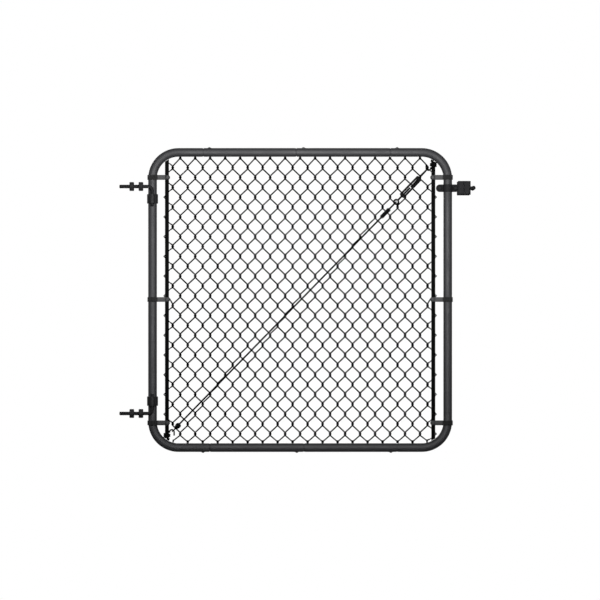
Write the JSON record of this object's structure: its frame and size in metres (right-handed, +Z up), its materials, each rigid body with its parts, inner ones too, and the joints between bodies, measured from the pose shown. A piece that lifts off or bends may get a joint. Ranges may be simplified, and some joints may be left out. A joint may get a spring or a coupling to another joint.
{
  "type": "chain link gate",
  "caption": "Square chain link gate leaf in a round-tube frame with bent-pin post hinges, a diagonal truss cable with turnbuckle and a lift-up fork latch.",
  "frame": {"origin": "on the post-side face of the lower hinge bolt's inner nut, 11 mm above the bolt's axis", "axes": "+X from the hinge post along the leaf to the latch, +Y away from the viewer of the pictured front, +Z up"},
  "size_m": [1.4256, 0.0978, 1.2192],
  "materials": {
    "frame_coat": "satin black powder coat with fine orange peel",
    "wire_coat": "black coated woven wire",
    "bar_coat": "near-black painted flat bar",
    "band_coat": "satin black pressed strap",
    "hinge_coat": "satin black painted forged steel",
    "latch_coat": "satin black painted pressed steel",
    "truss_coat": "black painted cable and fittings"
  },
  "bodies": {
    "post_hinges": {"hinge_bolt_bottom": "hinge_coat", "hinge_bolt_top": "hinge_coat", "hinge_nut_bottom_inner": "hinge_coat", "hinge_nut_bottom_outer": "hinge_coat", "hinge_nut_top_inner": "hinge_coat", "hinge_nut_top_outer": "hinge_coat"},
    "gate_leaf": {"band_left_bottom": "band_coat", "band_left_middle": "band_coat", "band_left_top": "band_coat", "band_right_bottom": "band_coat", "band_right_middle": "band_coat", "band_right_top": "band_coat", "bottom_rail_left": "frame_coat", "bottom_rail_right": "frame_coat", "corner_anchor_bottom": "truss_coat", "corner_anchor_top": "truss_coat", "fabric_edge_left": "wire_coat", "fabric_edge_right": "wire_coat", "fabric_left": "wire_coat", "fabric_right": "wire_coat", "frame_tube_left": "frame_coat", "frame_tube_right": "frame_coat", "hinge_strap_bottom": "hinge_coat", "hinge_strap_top": "hinge_coat", "latch_clamp_back": "latch_coat", "latch_clamp_front": "latch_coat", "latch_pivot_bolt": "latch_coat", "tension_bar_left": "bar_coat", "tension_bar_right": "bar_coat", "top_rail_left": "frame_coat", "top_rail_right": "frame_coat", "truss_cable": "truss_coat", "truss_sleeve": "truss_coat", "truss_socket": "truss_coat", "turnbuckle_body": "truss_coat", "turnbuckle_eye_rod": "truss_coat", "turnbuckle_hook_rod": "truss_coat"},
    "latch_fork_body": {"latch_tongue": "latch_coat", "latch_fork": "latch_coat", "latch_jaw_front": "latch_coat", "latch_jaw_back": "latch_coat"}
  },
  "joints": [
    {"name": "leaf_swing", "type": "hinge", "parent": "post_hinges", "child": "gate_leaf", "pos_m": [0.0542, 0, 0.4445], "axis": [0, 0, 1], "range_deg": [-110, 20]},
    {"name": "fork_lift", "type": "hinge", "parent": "gate_leaf", "child": "latch_fork_body", "pos_m": [1.2705, 0.0281, 0.893], "axis": [0, -1, 0], "range_deg": [0, 90]}
  ]
}
